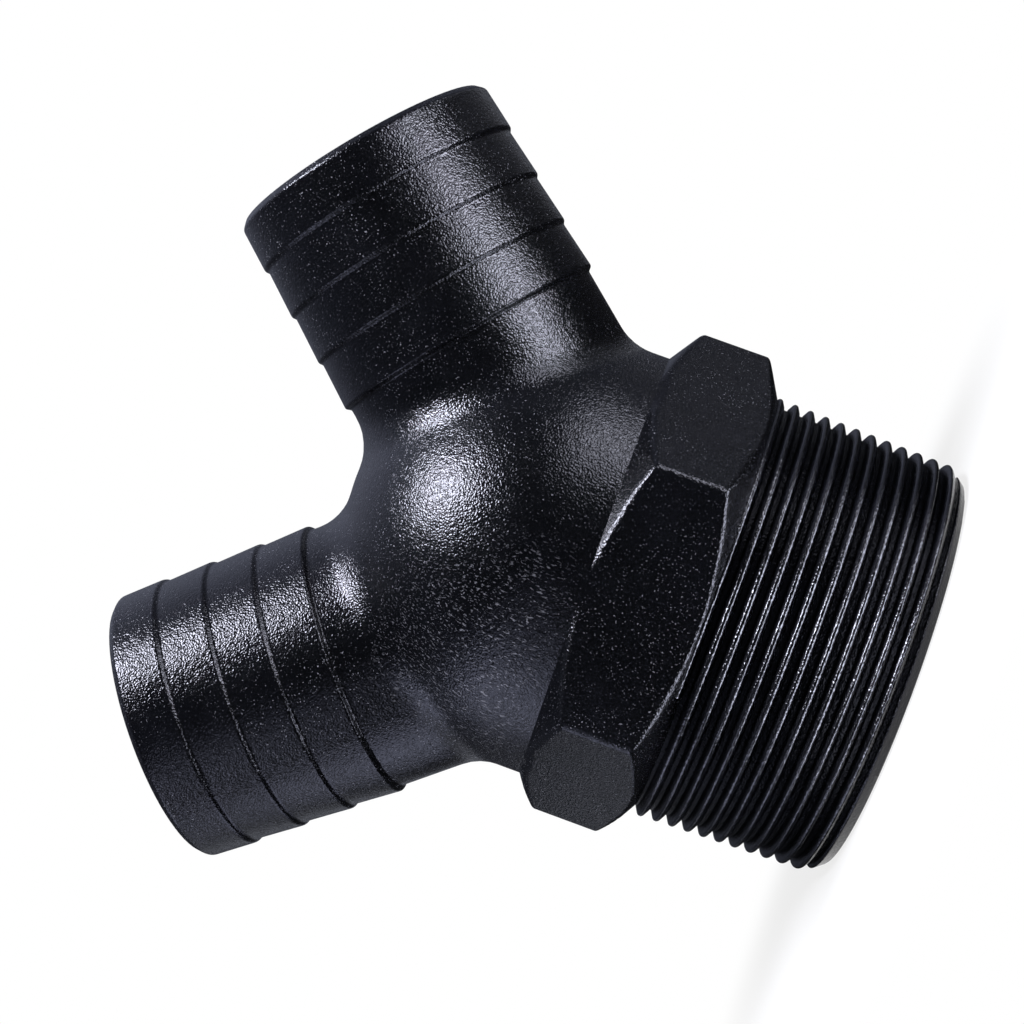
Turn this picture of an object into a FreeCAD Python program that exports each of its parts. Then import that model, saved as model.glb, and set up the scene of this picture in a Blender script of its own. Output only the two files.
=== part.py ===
"""Multi-port hose barb adapter, in millimetres.

One moulded piece. It stands on the end face of its threaded port, with that
port's axis along +Z. Above the hexagonal collar the trunk ends in a dome,
and two barbed hose necks leave it, spread to +X and -X of the vertical. All
three ports open into the same hollow. The helical thread ridge isn't part of
this solid: its root cone is here, at the size that the ridge stands on.
"""

import FreeCAD, Part
import math
import os
import Sketcher

# Driving sizes: a name, a value in millimetres or degrees, and what it is.
SIZES = (
    ("thread_end_radius", 27.3, "outer edge of the threaded port's end face"),
    ("lead_in_height", 1.05, "height of the lead-in chamfer on the root cone"),
    ("root_radius", 27.85, "thread root radius in the plane of the end face"),
    ("taper_per_length", 0.03125, "growth of the thread radius for each millimetre up"),
    ("collar_front", 26.4, "height at which the hexagonal collar begins"),
    ("collar_length", 16.4, "height of the collar with both bevels"),
    ("across_flats", 60.3, "distance between two opposite flats of the collar"),
    ("hex_corner_round", 1.2, "rounding of the six corners of the collar"),
    ("front_bevel_angle", 30.0, "slope of the thread-side bevel from the horizontal"),
    ("rear_bevel_angle", 34.0, "slope of the neck-side bevel from the horizontal"),
    ("bevel_overlap", 0.2, "depth to which both bevels run under the turned form"),
    ("bevel_overrun", 1.0, "distance by which the bevel cuts pass the hexagon's corners"),
    ("trunk_radius", 30.0, "outer radius of the trunk above the collar and of the dome that ends it"),
    ("trunk_step", 2.0, "depth inside the collar at which the full trunk radius begins"),
    ("spread_angle", 40.0, "angle of each barbed neck from the vertical"),
    ("neck_radius", 18.75, "outer radius of the plain neck below the first barb"),
    ("neck_root", 8.0, "buried end of the neck, from the meeting point of the axes"),
    ("blend_radius", 8.0, "fillet between each neck and the dome"),
    ("blend_clearance", 2.8, "bare trunk between the collar and the lowest point of the blends"),
    ("crotch_half_width", 1.55, "half the bare dome left between the two blends"),
    ("plain_neck", 1.5, "plain neck left between the blend and the first barb"),
    ("barb_radius", 19.4, "outer radius of the sharp edge of each barb"),
    ("barb_low_radius", 19.0, "radius to which each barb tapers before the next one"),
    ("barb_pitch", 7.23, "distance from one barb edge to the next"),
    ("last_barb_length", 6.9, "last barb edge to the free end"),
    ("tip_radius", 19.15, "radius to which the last barb tapers at the free end"),
    ("tip_chamfer", 0.8, "outer chamfer of each free end"),
    ("port_wall", 3.85, "wall of the threaded port under the thread root at the end face"),
    ("port_bore_chamfer", 0.8, "chamfer at the mouth of the threaded port"),
    ("bore_cone_start", 2.5, "start of the port bore's conical end, above the dome's centre"),
    ("bore_end_radius", 16.5, "radius of the flat end of the port bore"),
    ("dome_wall", 7.4, "wall between the rim of that flat end and the dome"),
    ("neck_wall", 2.85, "wall of the plain neck"),
    ("hose_bore_root", 14.0, "inner end of the hose bore, from the meeting point of the axes"),
    ("hose_bore_chamfer", 0.6, "chamfer at the mouth of each hose bore"),
)
BARB_COUNT = 4
HEX_SIDES = 6
MATCH = 0.01
CURVE_SAMPLES = 5
SHEET = "Sizes"
LAYOUT = "Layout"
NODE = "wye_body"


class Size:
    """A length or angle that carries its formula and its present value."""

    def __init__(self, formula, value):
        self.formula = formula
        self.value = value

    def joined(self, sign, other, value):
        return Size(f"({self.formula} {sign} {other.formula})", value)

    def __add__(self, other):
        return self.joined("+", other, self.value + other.value)

    def __sub__(self, other):
        return self.joined("-", other, self.value - other.value)

    def __mul__(self, other):
        return self.joined("*", other, self.value * other.value)

    def __truediv__(self, other):
        return self.joined("/", other, self.value / other.value)


def number(value):
    return Size(str(value), float(value))


def tangent(angle):
    return Size(f"tan({angle.formula})", math.tan(math.radians(angle.value)))


def cosine(angle):
    return Size(f"cos({angle.formula})", math.cos(math.radians(angle.value)))


def sine(angle):
    return Size(f"sin({angle.formula})", math.sin(math.radians(angle.value)))


def other_leg(longest, leg):
    """The third side of a right triangle, from its longest side and another."""
    formula = f"sqrt({longest.formula} ^ 2 - {leg.formula} ^ 2)"
    return Size(formula, math.sqrt(longest.value**2 - leg.value**2))


def make_sheet(doc):
    sheet = doc.addObject("Spreadsheet::Sheet", SHEET)
    for row, (alias, value, meaning) in enumerate(SIZES, start=1):
        sheet.set(f"A{row}", alias)
        sheet.set(f"B{row}", str(value))
        sheet.set(f"C{row}", meaning)
        sheet.setAlias(f"B{row}", alias)
    doc.recompute()
    return {alias: Size(f"{SHEET}.{alias}", float(sheet.get(alias))) for alias, value, meaning in SIZES}


def make_layout(doc, cells):
    """Place the necks and barbs so that the blends end clear of the collar, barbs and each other."""
    layout = doc.addObject("App::VarSet", LAYOUT)

    def derive(name, size):
        layout.addProperty("App::PropertyFloat", name)
        layout.setExpression(name, size.formula)
        cells[name] = Size(f"{LAYOUT}.{name}", size.value)
        return cells[name]

    spread_sine = sine(cells["spread_angle"])
    spread_cosine = cosine(cells["spread_angle"])
    ball_from_dome = cells["trunk_radius"] + cells["blend_radius"]
    ball_from_axis = cells["neck_radius"] + cells["blend_radius"]
    outward = cells["trunk_radius"] / ball_from_dome
    derive("crotch_ball_across", cells["crotch_half_width"] / outward)
    derive("crotch_ball_height", other_leg(ball_from_dome, cells["crotch_ball_across"]))
    crotch_reach = (ball_from_axis + cells["crotch_ball_across"] * spread_cosine) / spread_sine
    derive("dome_rise", crotch_reach - cells["crotch_ball_height"])
    blend_end = crotch_reach * spread_cosine + cells["crotch_ball_across"] * spread_sine
    derive("first_barb", blend_end + cells["plain_neck"])
    last_barb = cells["first_barb"] + cells["barb_pitch"] * number(BARB_COUNT - 1)
    derive("neck_length", last_barb + cells["last_barb_length"])
    derive("low_ball_offset", ball_from_axis + cells["dome_rise"] * spread_sine)
    low_ball_along = other_leg(ball_from_dome, cells["low_ball_offset"])
    low_ball_along = low_ball_along + cells["dome_rise"] * spread_cosine
    low_ball_height = low_ball_along * spread_cosine - ball_from_axis * spread_sine
    derive("blend_drop", (cells["dome_rise"] - low_ball_height) * outward)
    derive("collar_rear", cells["collar_front"] + cells["collar_length"])
    derive("dome_height", cells["collar_rear"] + cells["blend_clearance"] + cells["blend_drop"])
    derive("junction_height", cells["dome_height"] - cells["dome_rise"])
    derive("port_bore_radius", cells["root_radius"] - cells["port_wall"])
    derive("hose_bore_radius", cells["neck_radius"] - cells["neck_wall"])
    doc.recompute()
    for name in layout.PropertiesList:
        if name in cells:
            placed = getattr(layout, name)
            if abs(placed - cells[name].value) > MATCH:
                raise RuntimeError(f"{name} is {placed} in the document, not {cells[name].value}")
            print(f"{name}: {placed:.3f}")


def origin_part(body, role):
    return next(item for item in body.Origin.OriginFeatures if item.Role == role)


def add_sketch(body, name, role):
    sketch = body.newObject("Sketcher::SketchObject", name)
    sketch.AttachmentSupport = (origin_part(body, role), [""])
    sketch.MapMode = "FlatFace"
    return sketch


def bind(sketch, kind, places, size):
    """Add one constraint and let its value follow the sheet."""
    index = sketch.addConstraint(Sketcher.Constraint(kind, *places, size.value))
    sketch.setExpression(f"Constraints[{index}]", size.formula)


def place_corner(sketch, edge, corner):
    """Hold the first point of an edge at its two coordinates; None means on the axis."""
    across, along = corner
    if across is None:
        sketch.addConstraint(Sketcher.Constraint("PointOnObject", edge, 1, -2))
    else:
        bind(sketch, "DistanceX", (edge, 1), across)
    if along is None:
        sketch.addConstraint(Sketcher.Constraint("PointOnObject", edge, 1, -1))
    else:
        bind(sketch, "DistanceY", (edge, 1), along)


def point_of(corner):
    across, along = corner
    return FreeCAD.Vector(across.value if across else 0, along.value if along else 0, 0)


def add_outline(sketch, corners, dome_after=None, dome_centre=None):
    """Close a half section from its corners; one edge may be an arc that ends on the axis."""
    count = len(corners)
    first = sketch.GeometryCount
    for index, corner in enumerate(corners):
        begin = point_of(corner)
        end = point_of(corners[(index + 1) % count])
        if index == dome_after:
            centre = FreeCAD.Vector(0, dome_centre.value, 0)
            circle = Part.Circle(centre, FreeCAD.Vector(0, 0, 1), (begin - centre).Length)
            start_angle = math.atan2(begin.y - centre.y, begin.x)
            sketch.addGeometry(Part.ArcOfCircle(circle, start_angle, math.pi / 2), False)
        else:
            sketch.addGeometry(Part.LineSegment(begin, end), False)
    for index in range(count):
        following = first + (index + 1) % count
        sketch.addConstraint(Sketcher.Constraint("Coincident", first + index, 2, following, 1))
    for index, corner in enumerate(corners):
        if dome_after is not None and index == dome_after + 1:
            sketch.addConstraint(Sketcher.Constraint("PointOnObject", first + index, 1, -2))
        else:
            place_corner(sketch, first + index, corner)
    if dome_after is not None:
        arc = first + dome_after
        sketch.addConstraint(Sketcher.Constraint("PointOnObject", arc, 3, -2))
        bind(sketch, "DistanceY", (arc, 3), dome_centre)


def tilt_sketch(sketch, cells):
    """Turn a sketch so that its vertical axis is the axis of the neck on the +X side."""
    axis = FreeCAD.Vector(0, 0, -1)
    rise = FreeCAD.Vector(0, cells["junction_height"].value, 0)
    turn = FreeCAD.Rotation(axis, cells["spread_angle"].value)
    sketch.AttachmentOffset = FreeCAD.Placement(rise, turn)
    sketch.setExpression("AttachmentOffset.Base.y", cells["junction_height"].formula)
    sketch.setExpression("AttachmentOffset.Rotation.Angle", cells["spread_angle"].formula)


def turn_about_axis(body, kind, name, sketch):
    feature = body.newObject(kind, name)
    feature.Profile = sketch
    feature.ReferenceAxis = (sketch, ["V_Axis"])
    feature.Angle = 360
    sketch.Visibility = False
    return feature


def mirror_across(body, name, feature):
    mirrored = body.newObject("PartDesign::Mirrored", name)
    mirrored.Originals = [feature]
    mirrored.MirrorPlane = (origin_part(body, "YZ_Plane"), [""])
    body.Tip = mirrored
    return mirrored


def round_edges(body, name, base, chosen, radius):
    """Fillet the edges of a feature for which chosen() is true."""
    body.Document.recompute()
    names = [f"Edge{index}" for index, edge in enumerate(base.Shape.Edges, start=1) if chosen(edge)]
    if not names:
        raise RuntimeError(f"{name} found no edge to round")
    fillet = body.newObject("PartDesign::Fillet", name)
    fillet.Base = (base, names)
    fillet.Radius = radius.value
    fillet.setExpression("Radius", radius.formula)
    return fillet


def hexagon_corner_radius(cells):
    """Distance from the axis to a corner, before the corner is rounded."""
    return cells["across_flats"] / number(2) / cosine(number(180 / HEX_SIDES))


def make_collar(body, cells):
    """The hexagon: two corners lie in the plane of the necks, two flats face along Y."""
    corner_radius = hexagon_corner_radius(cells)
    sketch = add_sketch(body, "collar_hexagon", "XY_Plane")
    sketch.AttachmentOffset = FreeCAD.Placement(
        FreeCAD.Vector(0, 0, cells["collar_front"].value), FreeCAD.Rotation()
    )
    sketch.setExpression("AttachmentOffset.Base.z", cells["collar_front"].formula)
    corners = []
    for index in range(HEX_SIDES):
        angle = 2 * math.pi * index / HEX_SIDES
        across = corner_radius.value * math.cos(angle)
        along = corner_radius.value * math.sin(angle)
        corners.append(FreeCAD.Vector(across, along, 0))
    for index, corner in enumerate(corners):
        sketch.addGeometry(Part.LineSegment(corner, corners[(index + 1) % HEX_SIDES]), False)
    guide = sketch.addGeometry(
        Part.Circle(FreeCAD.Vector(), FreeCAD.Vector(0, 0, 1), corner_radius.value), True
    )
    sketch.addConstraint(Sketcher.Constraint("Coincident", guide, 3, -1, 1))
    bind(sketch, "Radius", (guide,), corner_radius)
    for index in range(HEX_SIDES):
        following = (index + 1) % HEX_SIDES
        sketch.addConstraint(Sketcher.Constraint("Coincident", index, 2, following, 1))
        sketch.addConstraint(Sketcher.Constraint("PointOnObject", index, 1, guide))
        if index:
            sketch.addConstraint(Sketcher.Constraint("Equal", 0, index))
    sketch.addConstraint(Sketcher.Constraint("PointOnObject", 0, 1, -1))
    pad = body.newObject("PartDesign::Pad", "collar")
    pad.Profile = sketch
    pad.Length = cells["collar_length"].value
    pad.setExpression("Length", cells["collar_length"].formula)
    sketch.Visibility = False

    def upright(edge):
        ends = [vertex.Point for vertex in edge.Vertexes]
        return abs(abs(ends[0].z - ends[-1].z) - cells["collar_length"].value) < MATCH

    return round_edges(body, "collar_corner_rounding", pad, upright, cells["hex_corner_round"])


def make_bevels(body, cells):
    """Turn both ends of the hexagon down to cones that run into the turned form."""
    front = cells["collar_front"]
    rear = cells["collar_rear"]
    reach = hexagon_corner_radius(cells) + cells["bevel_overrun"]
    front_start = cells["root_radius"] + front * cells["taper_per_length"] - cells["bevel_overlap"]
    rear_start = cells["trunk_radius"] - cells["bevel_overlap"]
    front_height = (reach - front_start) * tangent(cells["front_bevel_angle"])
    rear_height = (reach - rear_start) * tangent(cells["rear_bevel_angle"])
    sketch = add_sketch(body, "collar_bevel_section", "XZ_Plane")
    add_outline(sketch, ((front_start, front), (reach, front), (reach, front + front_height)))
    add_outline(sketch, ((rear_start, rear), (reach, rear), (reach, rear - rear_height)))
    return turn_about_axis(body, "PartDesign::Groove", "collar_bevels", sketch)


def make_trunk(body, cells):
    """The turned form: lead-in, tapered thread root, and the trunk with its domed end."""
    lead = cells["lead_in_height"]
    taper = cells["taper_per_length"]
    step = cells["collar_rear"] - cells["trunk_step"]
    sketch = add_sketch(body, "trunk_section", "YZ_Plane")
    corners = (
        (None, None),
        (cells["thread_end_radius"], None),
        (cells["root_radius"] + lead * taper, lead),
        (cells["root_radius"] + step * taper, step),
        (cells["trunk_radius"], step),
        (cells["trunk_radius"], cells["dome_height"]),
        (None, cells["dome_height"] + cells["trunk_radius"]),
    )
    add_outline(sketch, corners, dome_after=5, dome_centre=cells["dome_height"])
    return turn_about_axis(body, "PartDesign::Revolution", "trunk", sketch)


def make_necks(body, cells):
    """One barbed neck, turned about its own slanted axis, and its mirror image."""
    sketch = add_sketch(body, "neck_section", "XZ_Plane")
    tilt_sketch(sketch, cells)
    corners = [
        (None, cells["neck_root"]),
        (cells["neck_radius"], cells["neck_root"]),
        (cells["neck_radius"], cells["first_barb"]),
    ]
    for index in range(BARB_COUNT):
        edge = cells["first_barb"] + cells["barb_pitch"] * number(index)
        if index:
            corners.append((cells["barb_low_radius"], edge))
        corners.append((cells["barb_radius"], edge))
    tip = cells["neck_length"]
    corners.append((cells["tip_radius"], tip - cells["tip_chamfer"]))
    corners.append((cells["tip_radius"] - cells["tip_chamfer"], tip))
    corners.append((None, tip))
    add_outline(sketch, corners)
    neck = turn_about_axis(body, "PartDesign::Revolution", "hose_neck", sketch)
    return mirror_across(body, "hose_necks", neck)


def neck_frame(cells, side):
    """The meeting point of the axes and the direction of the neck on one side."""
    angle = math.radians(cells["spread_angle"].value)
    meeting = FreeCAD.Vector(0, 0, cells["junction_height"].value)
    return meeting, FreeCAD.Vector(side * math.sin(angle), 0, math.cos(angle))


def distance_from_neck_axis(point, cells, side):
    meeting, direction = neck_frame(cells, side)
    return (point - meeting).cross(direction).Length


def make_blends(body, cells, base):
    """Fillet the curve where each neck leaves the trunk."""
    centre = FreeCAD.Vector(0, 0, cells["dome_height"].value)

    def on_both(point, side):
        if point.z > centre.z:
            from_trunk_axis = (point - centre).Length
        else:
            from_trunk_axis = math.hypot(point.x, point.y)
        from_neck_axis = distance_from_neck_axis(point, cells, side)
        on_trunk = abs(from_trunk_axis - cells["trunk_radius"].value) < MATCH
        return on_trunk and abs(from_neck_axis - cells["neck_radius"].value) < MATCH

    def where_they_meet(edge):
        if edge.Degenerated:
            return False
        points = edge.discretize(Number=CURVE_SAMPLES)
        return any(all(on_both(point, side) for point in points) for side in (-1, 1))

    return round_edges(body, "neck_blends", base, where_they_meet, cells["blend_radius"])


def make_port_bore(body, cells):
    """The straight bore of the threaded port, and the cone that it ends in under the dome."""
    bore = cells["port_bore_radius"]
    chamfer = cells["port_bore_chamfer"]
    end_radius = cells["bore_end_radius"]
    top = cells["dome_height"] + other_leg(cells["trunk_radius"] - cells["dome_wall"], end_radius)
    sketch = add_sketch(body, "port_bore_section", "XZ_Plane")
    corners = (
        (None, None),
        (bore + chamfer, None),
        (bore, chamfer),
        (bore, cells["dome_height"] + cells["bore_cone_start"]),
        (end_radius, top),
        (None, top),
    )
    add_outline(sketch, corners)
    return turn_about_axis(body, "PartDesign::Groove", "port_bore", sketch)


def make_hose_bores(body, cells):
    """The straight bore of each hose neck, from its free end into the hollow trunk."""
    bore = cells["hose_bore_radius"]
    chamfer = cells["hose_bore_chamfer"]
    length = cells["neck_length"]
    sketch = add_sketch(body, "hose_bore_section", "XZ_Plane")
    tilt_sketch(sketch, cells)
    corners = (
        (None, cells["hose_bore_root"]),
        (bore, cells["hose_bore_root"]),
        (bore, length - chamfer),
        (bore + chamfer, length),
        (None, length),
    )
    add_outline(sketch, corners)
    cut = turn_about_axis(body, "PartDesign::Groove", "hose_bore", sketch)
    return mirror_across(body, "hose_bores", cut)


def check_feature(doc, feature, before, grows):
    """Stop if a feature left the volume unchanged or moved it the wrong way."""
    doc.recompute()
    volume = feature.Shape.Volume
    if (volume > before) != grows or abs(volume - before) < MATCH:
        raise RuntimeError(f"{feature.Name}: volume went from {before:.1f} to {volume:.1f}")
    print(f"{feature.Name}: {volume:.1f} mm3")
    return volume


def build(doc):
    cells = make_sheet(doc)
    make_layout(doc, cells)
    body = doc.addObject("PartDesign::Body", NODE)
    body.Label = NODE
    collar = make_collar(body, cells)
    volume = check_feature(doc, collar, 0, True)
    bevels = make_bevels(body, cells)
    volume = check_feature(doc, bevels, volume, False)
    trunk = make_trunk(body, cells)
    volume = check_feature(doc, trunk, volume, True)
    necks = make_necks(body, cells)
    volume = check_feature(doc, necks, volume, True)
    blends = make_blends(body, cells, necks)
    volume = check_feature(doc, blends, volume, True)
    port_bore = make_port_bore(body, cells)
    volume = check_feature(doc, port_bore, volume, False)
    hose_bores = make_hose_bores(body, cells)
    check_feature(doc, hose_bores, volume, False)
    return body


def check_document(doc):
    for item in doc.Objects:
        if {"Invalid", "Error"} & set(item.State):
            raise RuntimeError(f"{item.Name} is {item.State}")


def export(body):
    shape = body.Shape
    if shape.isNull() or not shape.isValid() or len(shape.Solids) != 1:
        raise RuntimeError(f"{body.Label} isn't one valid solid")
    box = shape.optimalBoundingBox(False)
    print(f"{body.Label}: {box.XLength:.2f} x {box.YLength:.2f} x {box.ZLength:.2f} mm")
    print(f"lowest point {box.ZMin:.3f} mm, centre of mass {shape.Solids[0].CenterOfMass}")
    os.makedirs("parts", exist_ok=True)
    shape.exportStep(os.path.join("parts", f"{body.Label}.step"))


document = FreeCAD.newDocument("hose_barb_adapter")
wye_body = build(document)
document.recompute()
check_document(document)
export(wye_body)
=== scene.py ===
# %% [markdown]
# # A two-way hose fitting in moulded black plastic
# The fitting is one hard moulding: a pipe thread, a six-sided collar for the
# wrench, a domed trunk and two ribbed necks that hoses are pushed over. Its
# shape comes from a measured solid, which is loaded first and stays the frame
# for everything else. All lengths below are in metres and +Z points up, from
# the thread towards the necks.

# %% Load the measured solid
import bpy
import bmesh
import math
from mathutils import Matrix, Quaternion, Vector


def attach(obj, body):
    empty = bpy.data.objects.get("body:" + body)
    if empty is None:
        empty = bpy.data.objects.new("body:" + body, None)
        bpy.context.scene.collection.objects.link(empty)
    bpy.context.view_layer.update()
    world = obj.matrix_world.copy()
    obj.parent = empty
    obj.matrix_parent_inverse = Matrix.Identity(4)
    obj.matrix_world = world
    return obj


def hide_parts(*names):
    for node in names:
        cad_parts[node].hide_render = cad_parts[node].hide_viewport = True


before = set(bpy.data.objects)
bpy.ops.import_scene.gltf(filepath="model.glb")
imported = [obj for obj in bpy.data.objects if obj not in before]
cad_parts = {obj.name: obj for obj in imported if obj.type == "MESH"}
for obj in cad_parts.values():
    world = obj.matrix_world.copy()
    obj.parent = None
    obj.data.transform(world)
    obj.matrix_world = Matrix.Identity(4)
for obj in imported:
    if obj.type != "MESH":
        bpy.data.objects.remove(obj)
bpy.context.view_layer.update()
MM = 0.001

# %% [markdown]
# ## The moulding itself
# On the real fitting every edge left the mould a little round, and those thin
# rounded edges are what catches the light on black plastic. A solid from a
# drawing has none of them. A Bevel modifier likes long clean edges, and here
# each curved edge is a chain of short ones. So a copy of the solid is welded
# into one skin, and the two places with the most edges, the collar and the
# barbs, are cut out of that skin and woven in again as fine rows of points
# that follow a rounded rule.

# %% Weld a copy of the solid into one skin
WELD_REACH = 1e-6
FLAT_WITHIN = math.radians(0.4)


def welded_skin(node):
    skin = bmesh.new()
    skin.from_mesh(node.data)
    bmesh.ops.remove_doubles(skin, verts=skin.verts, dist=WELD_REACH)
    bmesh.ops.dissolve_limit(skin, angle_limit=FLAT_WITHIN, verts=skin.verts, edges=skin.edges)
    return skin


skin = welded_skin(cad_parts["wye_body"])
print("skin of", len(skin.verts), "points and", len(skin.faces), "faces")

# %% [markdown]
# A woven patch is a list of rows, and each row is a closed ring of points.
# Faces are laid between one ring and the next. Then the patch's first and last
# ring are sewn to the rims that the cut left open in the skin, by bridging the
# two loops, which copes with rings that have different numbers of points.

# %% Helpers to weave rows of points into the skin
TOUCH = 0.02 * MM


def woven_rows(skin, rows):
    lines = [[skin.verts.new(place) for place in row] for row in rows]
    for low, high in zip(lines, lines[1:]):
        for i in range(len(low)):
            j = (i + 1) % len(low)
            skin.faces.new((low[i], low[j], high[j], high[i]))
    return lines[0], lines[-1]


def line_edges(points):
    edges = []
    for i, point in enumerate(points):
        beside = points[(i + 1) % len(points)]
        edges.append(next(e for e in point.link_edges if e.other_vert(point) == beside))
    return edges


def open_edges(skin, wanted):
    return [e for e in skin.edges if e.is_boundary and wanted(e.verts[0].co) and wanted(e.verts[1].co)]


def sew(skin, woven, rim):
    bmesh.ops.bridge_loops(skin, edges=line_edges(woven) + rim)


def near(value, wanted):
    return abs(value - wanted) < TOUCH


def from_axis(place):
    return math.hypot(place.x, place.y)


def spread_between(start, stop, step):
    count = max(1, math.ceil((stop - start) / step))
    return [start + (stop - start) * i / count for i in range(count)]


# %% [markdown]
# The collar is a six-sided bar, turned off to a cone in front and behind. For
# each direction round the axis and each height, its surface is the nearest of
# the three: flat, front cone or rear cone. Boolean cuts could make that shape
# too, but with sharp edges. Written as a rule, an eased minimum rounds each edge
# where two surfaces meet, as the mould does, and the six corners are small arcs.

# %% The rule that shapes the collar
SIDES = 6
SIDE_TURN = 2 * math.pi / SIDES
FLAT_DISTANCE = 30.15 * MM
CORNER_ROUND = 1.2 * MM
FRONT_LOW, FRONT_RADIUS = 26.52 * MM, 28.68 * MM
REAR_TOP, TRUNK_RADIUS = 42.67 * MM, 30.0 * MM
REAR_HALF = 35 * MM
FRONT_SLOPE = 1 / math.tan(math.radians(30))
REAR_SLOPE = 1 / math.tan(math.radians(34))
COLLAR_EASE = 0.75 * MM
FLUSH_EASE, FLUSH_REACH = 1.6 * MM, 0.35 * MM
TRUNK_EASE = 0.12 * MM


def eased_least(a, b, reach):
    overlap = max(reach - abs(a - b), 0.0)
    return min(a, b) - overlap * overlap / (4 * reach)


def eased_most(a, b, reach):
    return -eased_least(-a, -b, reach)


def flat_radius(turn):
    half = SIDE_TURN / 2
    off = abs((turn + math.pi / 2 + half) % SIDE_TURN - half)
    from_corner = half - off
    corner_centre = (FLAT_DISTANCE - CORNER_ROUND) / math.cos(half)
    arc_starts = math.atan2(CORNER_ROUND * math.sin(half), corner_centre + CORNER_ROUND * math.cos(half))
    if from_corner < arc_starts:
        sagged = CORNER_ROUND ** 2 - (corner_centre * math.sin(from_corner)) ** 2
        return corner_centre * math.cos(from_corner) + math.sqrt(sagged)
    return FLAT_DISTANCE / math.cos(off)


def collar_radius(turn, height):
    flat = flat_radius(turn)
    front = FRONT_RADIUS + FRONT_SLOPE * (height - FRONT_LOW)
    rear = TRUNK_RADIUS + REAR_SLOPE * (REAR_TOP - height)
    flush = max(0.0, 1 - (flat - FLAT_DISTANCE) / FLUSH_REACH)
    shape = eased_least(flat, front, COLLAR_EASE)
    shape = eased_least(shape, rear, COLLAR_EASE + FLUSH_EASE * flush)
    return eased_most(shape, TRUNK_RADIUS, TRUNK_EASE) if height > REAR_HALF else shape


print("collar", round(2 * FLAT_DISTANCE / MM, 2), "mm across its flats")

# %% [markdown]
# A rounded edge needs close points and a flat needs few. So the directions
# crowd at the corners, in degrees from each corner, and the heights crowd at
# the two bevels, with wide rows between them.

# %% Where the collar's points go
CORNER_STEPS = (0.0, 0.25, 0.5, 0.75, 1.0, 1.35, 1.9, 2.8, 4.2, 6.2, 9.0, 13.0, 17.0, 21.0, 25.5)
SIDE_DEGREES = 360 // SIDES
FRONT_BEVEL_TOP, REAR_BEVEL_LOW = 30.7 * MM, 38.8 * MM
BEVEL_ROW, FLAT_ROW = 0.12 * MM, 1.4 * MM
FRONT_GAP, REAR_GAP = 0.06 * MM, 0.04 * MM

collar_turns = []
for corner in range(SIDES):
    start = SIDE_DEGREES * corner
    degrees = [start + step for step in CORNER_STEPS]
    degrees.append(start + SIDE_DEGREES / 2)
    degrees += [start + SIDE_DEGREES - step for step in reversed(CORNER_STEPS[1:])]
    collar_turns += [math.radians(value) for value in degrees]
collar_heights = (
    spread_between(FRONT_LOW + FRONT_GAP, FRONT_BEVEL_TOP, BEVEL_ROW)
    + spread_between(FRONT_BEVEL_TOP, REAR_BEVEL_LOW, FLAT_ROW)
    + spread_between(REAR_BEVEL_LOW, REAR_TOP - REAR_GAP, BEVEL_ROW)
    + [REAR_TOP - REAR_GAP]
)
print("collar of", len(collar_heights), "rows of", len(collar_turns), "points")

# %% Weave the collar
OUTSIDE_THE_BORE = 26 * MM


def on_collar(place):
    return FRONT_LOW + TOUCH < place.z < REAR_TOP - TOUCH and from_axis(place) > OUTSIDE_THE_BORE


def collar_row(height):
    row = []
    for turn in collar_turns:
        across = collar_radius(turn, height)
        row.append((across * math.cos(turn), across * math.sin(turn), height))
    return row


def round_rim(skin, height, radius):
    return open_edges(skin, lambda place: near(place.z, height) and near(from_axis(place), radius))


bmesh.ops.delete(skin, geom=[v for v in skin.verts if on_collar(v.co)], context="VERTS")
first, last = woven_rows(skin, [collar_row(height) for height in collar_heights])
sew(skin, first, round_rim(skin, FRONT_LOW, FRONT_RADIUS))
sew(skin, last, round_rim(skin, REAR_TOP, TRUNK_RADIUS))
print("skin of", len(skin.faces), "faces with the collar woven in")

# %% [markdown]
# Each neck carries four barbs, low saw teeth that grip a hose. In the drawing
# the back of a tooth drops straight down. The moulded tooth leans back and is
# rounded top and bottom. Turning an outline with the Spin tool would make a
# neck, but a loose one, and these grow out of a blended trunk. So only the
# toothed stretch is woven anew. Its outline is a list of corners, and each
# radius is averaged over a short stretch, which rounds every corner alike.

# %% The outline of a neck
JUNCTION = Vector((0.0, 0.0, 41.510 * MM))
SPREAD = math.radians(40)
NECK_AXES = [Vector((side * math.sin(SPREAD), 0.0, math.cos(SPREAD))) for side in (1, -1)]
NECK_RADIUS = 18.75 * MM
BARB_FOOT, BARB_EDGE = 19.0 * MM, 19.4 * MM
FIRST_BARB, BARB_PITCH, BARB_COUNT = 36.434 * MM, 7.23 * MM, 4
BARB_PLACES = [FIRST_BARB + BARB_PITCH * i for i in range(BARB_COUNT)]
BARB_LEAN = 0.40 * MM
TIP_START, TIP_RADIUS = 64.224 * MM, 19.15 * MM
TIP_END, FACE_RADIUS = 65.024 * MM, 18.35 * MM
FAR_INWARD = 1.0
EASE_HALF, EASE_STEPS = 0.32 * MM, 6

outline_corners = [(0.0, NECK_RADIUS)]
foot = NECK_RADIUS
for place in BARB_PLACES:
    outline_corners += [(place - BARB_LEAN, foot), (place, BARB_EDGE)]
    foot = BARB_FOOT
outline_corners += [(TIP_START, TIP_RADIUS), (TIP_END, FACE_RADIUS)]
outline_corners.append((TIP_END + FAR_INWARD, FACE_RADIUS - FAR_INWARD))


def sharp_radius(along):
    for (a, low), (b, high) in zip(outline_corners, outline_corners[1:]):
        if a <= along < b:
            return low + (high - low) * (along - a) / (b - a)
    return outline_corners[-1][1]


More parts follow.
